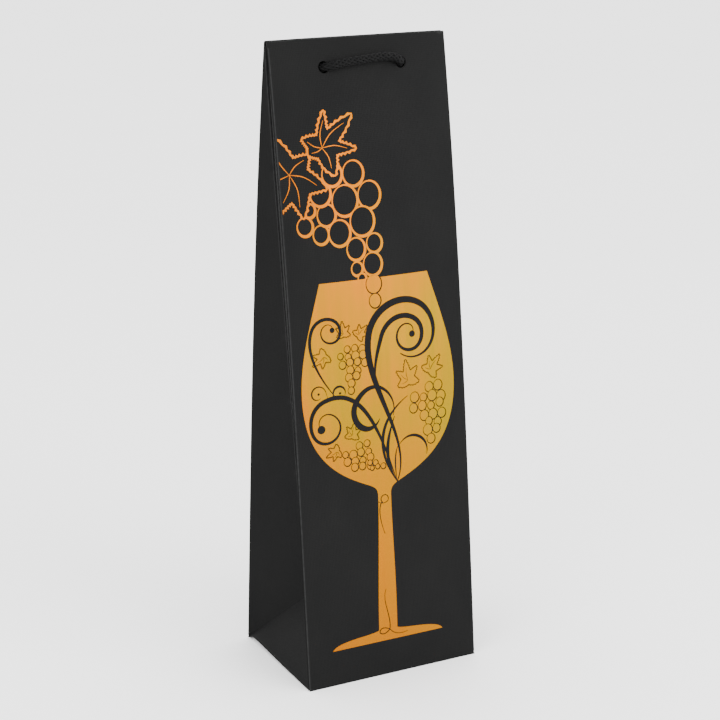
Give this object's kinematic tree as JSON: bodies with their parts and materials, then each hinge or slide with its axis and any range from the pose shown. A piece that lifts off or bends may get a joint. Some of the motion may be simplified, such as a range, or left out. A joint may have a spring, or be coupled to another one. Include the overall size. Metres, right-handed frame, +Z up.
{
  "type": "wine gift bag",
  "caption": "Tall black paper wine gift bag with folded side gussets, rope handles pulled in through their holes and gold foil wine-glass artwork.",
  "frame": {"origin": "middle of the base, on the ground", "axes": "+X right across the front, +Y towards the back, +Z up; the artwork faces -Y"},
  "size_m": [0.108, 0.085, 0.36],
  "materials": {
    "outer_paper": "matt black paper with a fine linen emboss",
    "gusset_paper": "matt black paper with a fine linen emboss",
    "base_paper": "matt black paper, folded and glued",
    "inner_paper": "uncoated black paper",
    "card": "dense dark card",
    "cord": "braided black cord",
    "gold_foil": "brushed gold hot foil"
  },
  "bodies": {
    "base": {"front_bottom_flap": "base_paper", "back_bottom_flap": "base_paper", "left_bottom_flap": "inner_paper", "right_bottom_flap": "inner_paper", "base_board": "card"},
    "front_side": {"front_panel": "outer_paper", "front_top_card": "card", "front_handle_cord": "cord", "front_left_knot": "cord", "front_right_knot": "cord", "foil_wine_glass": "gold_foil", "foil_grape_bunch": "gold_foil", "foil_vine_leaves": "gold_foil"},
    "back_side": {"back_panel": "outer_paper", "back_top_card": "card", "side_seam_flap": "inner_paper", "back_handle_cord": "cord", "back_left_knot": "cord", "back_right_knot": "cord"},
    "left_base_fold": {"left_base_triangle": "gusset_paper"},
    "left_front_outer": {"left_front_outer_facet": "gusset_paper"},
    "left_front_inner": {"left_front_inner_facet": "gusset_paper"},
    "left_back_outer": {"left_back_outer_facet": "gusset_paper"},
    "left_back_inner": {"left_back_inner_facet": "gusset_paper"},
    "right_base_fold": {"right_base_triangle": "gusset_paper"},
    "right_front_outer": {"right_front_outer_facet": "gusset_paper"},
    "right_front_inner": {"right_front_inner_facet": "gusset_paper"},
    "right_back_outer": {"right_back_outer_facet": "gusset_paper"},
    "right_back_inner": {"right_back_inner_facet": "gusset_paper"}
  },
  "joints": [
    {"name": "mouth_opening", "type": "hinge", "parent": "base", "child": "front_side", "pos_m": [0, -0.0423, 0.0002], "axis": [1, 0, 0], "range_deg": [0, 5.75]},
    {"name": "back_side_opening", "type": "hinge", "parent": "base", "child": "back_side", "pos_m": [0, 0.0423, 0.0002], "axis": [-1, 0, 0], "range_deg": [0, 5.75]},
    {"name": "left_base_fold", "type": "hinge", "parent": "base", "child": "left_base_fold", "pos_m": [-0.0538, 0, 0.0002], "axis": [0, -1, 0], "range_deg": [0, 18.05]},
    {"name": "left_front_outer_fold", "type": "hinge", "parent": "front_side", "child": "left_front_outer", "pos_m": [-0.0538, -0.0423, 0.0002], "axis": [0, 0.1113, 0.9938], "range_deg": [0, 18.05]},
    {"name": "left_front_inner_fold", "type": "hinge", "parent": "left_front_outer", "child": "left_front_inner", "pos_m": [-0.03487, 0, 0.03803], "axis": [-0.0587, -0.0062, 0.9983], "range_deg": [0, 44.07]},
    {"name": "left_back_outer_fold", "type": "hinge", "parent": "back_side", "child": "left_back_outer", "pos_m": [-0.0538, 0.0423, 0.0002], "axis": [0, 0.1113, -0.9938], "range_deg": [0, 18.05]},
    {"name": "left_back_inner_fold", "type": "hinge", "parent": "left_back_outer", "child": "left_back_inner", "pos_m": [-0.03487, 0, 0.03803], "axis": [0.0587, -0.0062, -0.9983], "range_deg": [0, 44.07]},
    {"name": "right_base_fold", "type": "hinge", "parent": "base", "child": "right_base_fold", "pos_m": [0.0538, 0, 0.0002], "axis": [0, 1, 0], "range_deg": [0, 18.05]},
    {"name": "right_front_outer_fold", "type": "hinge", "parent": "front_side", "child": "right_front_outer", "pos_m": [0.0538, -0.0423, 0.0002], "axis": [0, -0.1113, -0.9938], "range_deg": [0, 18.05]},
    {"name": "right_front_inner_fold", "type": "hinge", "parent": "right_front_outer", "child": "right_front_inner", "pos_m": [0.03487, 0, 0.03803], "axis": [-0.0587, 0.0062, -0.9983], "range_deg": [0, 44.07]},
    {"name": "right_back_outer_fold", "type": "hinge", "parent": "back_side", "child": "right_back_outer", "pos_m": [0.0538, 0.0423, 0.0002], "axis": [0, -0.1113, 0.9938], "range_deg": [0, 18.05]},
    {"name": "right_back_inner_fold", "type": "hinge", "parent": "right_back_outer", "child": "right_back_inner", "pos_m": [0.03487, 0, 0.03803], "axis": [0.0587, 0.0062, 0.9983], "range_deg": [0, 44.07]}
  ],
  "couplings": [
    {"joint": "back_side_opening", "follows": "mouth_opening", "ratio": 1},
    {"joint": "left_base_fold", "follows": "mouth_opening", "ratio": 3.1375},
    {"joint": "left_front_outer_fold", "follows": "mouth_opening", "ratio": 3.1375},
    {"joint": "left_front_inner_fold", "follows": "mouth_opening", "ratio": 7.6626},
    {"joint": "left_back_outer_fold", "follows": "mouth_opening", "ratio": 3.1375},
    {"joint": "left_back_inner_fold", "follows": "mouth_opening", "ratio": 7.6626},
    {"joint": "right_base_fold", "follows": "mouth_opening", "ratio": 3.1375},
    {"joint": "right_front_outer_fold", "follows": "mouth_opening", "ratio": 3.1375},
    {"joint": "right_front_inner_fold", "follows": "mouth_opening", "ratio": 7.6626},
    {"joint": "right_back_outer_fold", "follows": "mouth_opening", "ratio": 3.1375},
    {"joint": "right_back_inner_fold", "follows": "mouth_opening", "ratio": 7.6626}
  ]
}
